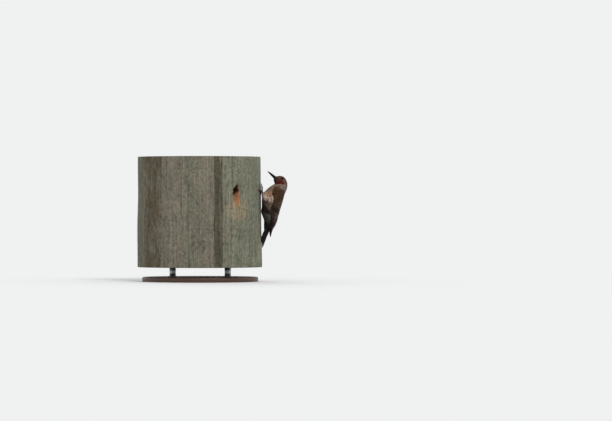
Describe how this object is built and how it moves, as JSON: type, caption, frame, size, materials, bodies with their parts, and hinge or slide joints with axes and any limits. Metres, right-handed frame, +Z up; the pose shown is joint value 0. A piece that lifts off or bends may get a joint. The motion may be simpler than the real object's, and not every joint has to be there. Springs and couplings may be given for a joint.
{
  "type": "northern flicker woodpecker",
  "caption": "Male red-shafted flicker, a spotted brown woodpecker with a red cheek stripe, clinging upright to a cut length of wooden pole on a round display stand.",
  "frame": {"origin": "centre of the underside of the stand's round base, on the axis of the pole", "axes": "+Z up along the pole's axis; the bird clings to the +X side of the pole with its belly towards the pole; -Y is the bird's left side and the side seen by the camera"},
  "size_m": [0.5139, 0.426, 0.43],
  "materials": {
    "body_plumage": "soft barred brown and spotted buff feathers",
    "head_plumage": "short grey and brown feathers with a red cheek stripe",
    "wing_feathers": "brown feathers with narrow black bars, dark tips",
    "tail_feathers": "stiff black feathers with red shafts",
    "bill_horn": "smooth slate-black horn",
    "eye": "wet dark brown",
    "leg_scale": "grey scaled skin",
    "claw_horn": "dark horn",
    "weathered_wood": "grey weathered softwood with drying cracks",
    "stained_wood": "dark stained and waxed",
    "brushed_rod": "brushed"
  },
  "bodies": {
    "root": {"trunk": "body_plumage", "neck": "head_plumage", "head": "head_plumage", "bill_upper": "bill_horn", "bill_lower": "bill_horn", "tail": "tail_feathers", "perch_pole": "weathered_wood", "stand_base": "stained_wood", "stand_rod_1": "brushed_rod", "stand_rod_2": "brushed_rod", "eye_left": "eye", "wing_left_coverts": "wing_feathers", "wing_left_flight": "wing_feathers", "thigh_left": "body_plumage", "shank_left": "leg_scale", "foot_left": "leg_scale", "claw_left_inner": "claw_horn", "claw_left_middle": "claw_horn", "claw_left_outer": "claw_horn", "claw_left_hind": "claw_horn", "eye_right": "eye", "wing_right_coverts": "wing_feathers", "wing_right_flight": "wing_feathers", "thigh_right": "body_plumage", "shank_right": "leg_scale", "foot_right": "leg_scale", "claw_right_inner": "claw_horn", "claw_right_middle": "claw_horn", "claw_right_outer": "claw_horn", "claw_right_hind": "claw_horn"}
  },
  "joints": []
}
